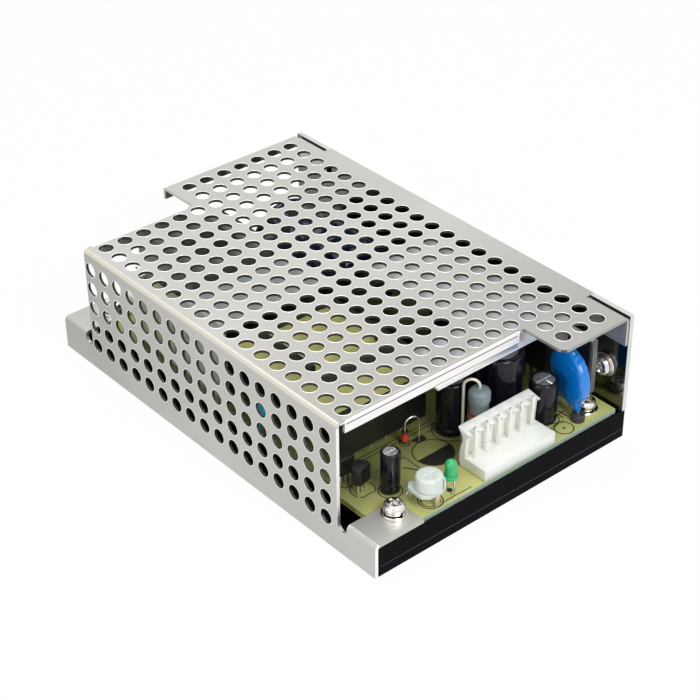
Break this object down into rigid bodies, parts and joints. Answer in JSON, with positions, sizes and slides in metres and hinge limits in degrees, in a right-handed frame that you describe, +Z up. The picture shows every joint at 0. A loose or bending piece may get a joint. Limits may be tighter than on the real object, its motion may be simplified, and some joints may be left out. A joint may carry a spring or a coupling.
{
  "type": "open frame power supply",
  "caption": "Open frame power supply: an L-shaped metal chassis and a folded, perforated cover round a circuit board, open at both ends for its plug-in headers.",
  "frame": {"origin": "centre of the chassis foot, on the face it is mounted by", "axes": "+X towards the output end, +Y towards the full height chassis wall, +Z up"},
  "size_m": [0.13, 0.085, 0.0375],
  "materials": {
    "chassis_metal": "bright rolled sheet",
    "cover_metal": "satin sheet",
    "black_film": "smooth black film",
    "board_laminate": "satin yellow-green laminate",
    "plated_steel": "nickel plated",
    "natural_nylon": "semi-gloss natural nylon",
    "tinned_metal": "bright tin",
    "white_plastic": "moulded",
    "green_lens": "clear coloured resin",
    "capacitor_can": "bright drawn can",
    "black_sleeve": "shrink sleeve",
    "blue_black_sleeve": "shrink sleeve",
    "grey_coating": "coated",
    "red_glass": "coated glass",
    "black_epoxy": "moulded",
    "blue_epoxy": "dipped and glossy",
    "dark_ferrite": "sintered",
    "heatsink_metal": "rolled sheet",
    "yellow_tape": "polyester tape",
    "enamelled_copper": "enamelled wire",
    "cream_plastic": "moulded",
    "cyan_plastic": "dipped",
    "white_ceramic": "ceramic tube",
    "green_black_coating": "dipped"
  },
  "bodies": {
    "unit": {"chassis": "chassis_metal", "cover": "cover_metal", "insulation_sheet": "black_film", "circuit_board": "board_laminate", "standoffs": "plated_steel", "flat_washers": "plated_steel", "spring_washers": "plated_steel", "board_screws": "plated_steel", "earth_washer": "plated_steel", "earth_screw": "plated_steel", "output_header": "natural_nylon", "output_pins": "tinned_metal", "input_header": "natural_nylon", "input_pins": "tinned_metal", "trimmer_frame": "white_plastic", "trimmer_legs": "tinned_metal", "led_lens": "green_lens", "led_leads": "tinned_metal", "small_cans": "capacitor_can", "small_sleeves": "black_sleeve", "output_cans": "capacitor_can", "output_sleeves": "black_sleeve", "load_resistor": "grey_coating", "resistor_lead": "tinned_metal", "signal_diode": "red_glass", "diode_lead": "tinned_metal", "small_transistors": "black_epoxy", "transistor_legs": "tinned_metal", "disc_capacitor": "blue_epoxy", "disc_leads": "tinned_metal", "lead_bead": "dark_ferrite", "output_heatsink": "heatsink_metal", "heatsink_spacer": "heatsink_metal", "rectifier_tabs": "tinned_metal", "rectifier_bodies": "black_epoxy", "rectifier_legs": "tinned_metal", "tab_screws": "plated_steel", "transformer_core": "dark_ferrite", "transformer_bobbin": "black_epoxy", "transformer_winding": "yellow_tape", "transformer_tape": "black_film", "transformer_pins": "tinned_metal", "bulk_can": "capacitor_can", "bulk_sleeve": "blue_black_sleeve", "switch_heatsink": "heatsink_metal", "switch_tab": "tinned_metal", "switch_body": "black_epoxy", "filter_core": "dark_ferrite", "filter_bobbin": "natural_nylon", "filter_windings": "enamelled_copper", "line_capacitor": "cream_plastic", "film_capacitor": "cyan_plastic", "bridge_rectifier": "black_epoxy", "fuse_tube": "white_ceramic", "fuse_caps": "tinned_metal", "thermistor": "green_black_coating", "optocouplers": "black_epoxy", "control_chip": "black_epoxy"},
    "knob": {"trimmer_knob": "white_plastic"}
  },
  "joints": [
    {"name": "trimmer_turn", "type": "hinge", "parent": "unit", "child": "knob", "pos_m": [0.0604, -0.0216, 0.0133], "axis": [0, 0, 1], "range_deg": [-130, 130]}
  ]
}
